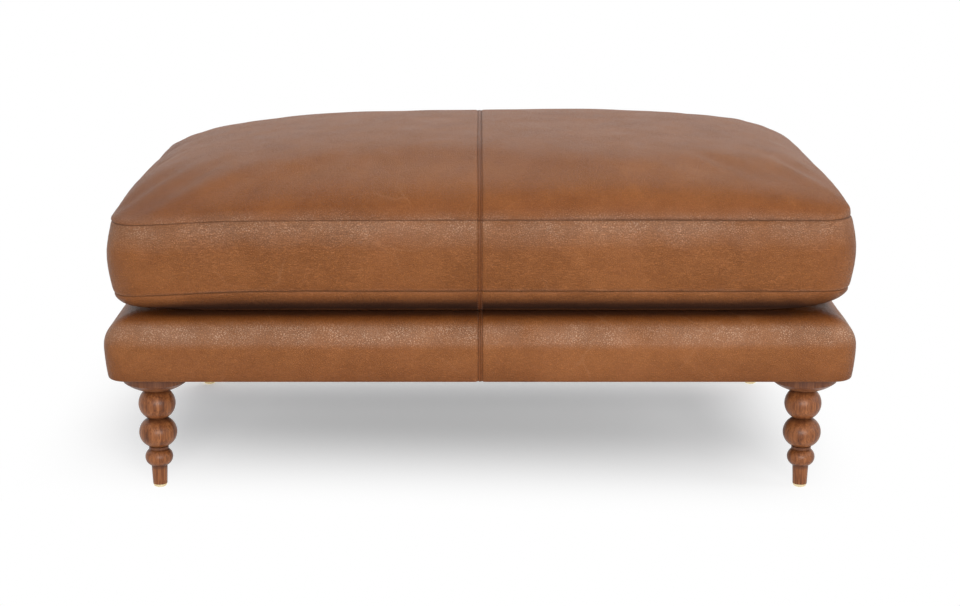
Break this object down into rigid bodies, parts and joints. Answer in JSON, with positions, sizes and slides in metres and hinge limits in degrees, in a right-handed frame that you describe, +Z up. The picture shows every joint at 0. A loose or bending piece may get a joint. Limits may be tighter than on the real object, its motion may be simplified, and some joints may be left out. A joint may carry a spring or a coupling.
{
  "type": "leather ottoman",
  "caption": "Rectangular leather ottoman with a loose crowned cushion on a padded sprung base, turned bobbin legs and brass glides.",
  "frame": {"origin": "on the floor, below the middle of the ottoman", "axes": "+Z up, +X along the long side, -Y towards the front"},
  "size_m": [1.04, 0.66, 0.484],
  "materials": {
    "leather": "satin",
    "leg_wood": "satin",
    "brass": "satin",
    "steel": "satin",
    "frame_wood": "matte",
    "filling": "matte",
    "felt": "matte",
    "lining_cloth": "matte",
    "zip_tape": "matte"
  },
  "bodies": {
    "base": {"base_cover_left": "leather", "base_cover_right": "leather", "deck_cloth": "lining_cloth", "dust_cover": "lining_cloth", "rail_padding": "filling", "deck_foam": "filling", "spring_felt": "felt", "front_rail": "frame_wood", "back_rail": "frame_wood", "left_rail": "frame_wood", "right_rail": "frame_wood", "centre_rail": "frame_wood", "front_left_block": "frame_wood", "front_right_block": "frame_wood", "back_left_block": "frame_wood", "back_right_block": "frame_wood", "frame_dowels": "frame_wood", "block_screws": "steel", "sinuous_springs": "steel", "spring_clips": "steel", "clip_nails": "steel", "front_left_leg": "leg_wood", "front_right_leg": "leg_wood", "back_left_leg": "leg_wood", "back_right_leg": "leg_wood", "front_left_glide": "brass", "front_right_glide": "brass", "back_left_glide": "brass", "back_right_glide": "brass", "hanger_bolts": "steel", "tee_nuts": "steel"},
    "cushion": {"cushion_top_left": "leather", "cushion_top_right": "leather", "cushion_boxing_left": "leather", "cushion_boxing_right": "leather", "cushion_zip_strip_upper": "leather", "cushion_zip_strip_lower": "leather", "cushion_underside_left": "leather", "cushion_underside_right": "leather", "cushion_foam": "filling", "cushion_fibre_wrap": "filling", "zip_tape_upper": "zip_tape", "zip_tape_lower": "zip_tape", "zip_stops": "brass"},
    "zip_slider": {"zip_slider": "brass"},
    "zip_pull": {"zip_pull": "brass"}
  },
  "joints": [
    {"name": "cushion_lift", "type": "slide", "parent": "base", "child": "cushion", "axis": [0, 0, 1], "range_m": [0, 0.3]},
    {"name": "zip_slide", "type": "slide", "parent": "cushion", "child": "zip_slider", "axis": [-1, 0, 0], "range_m": [0, 0.8888]},
    {"name": "pull_swing", "type": "hinge", "parent": "zip_slider", "child": "zip_pull", "pos_m": [0.4444, 0.32588, 0.3485], "axis": [0, 0, -1], "range_deg": [0, 180]}
  ]
}
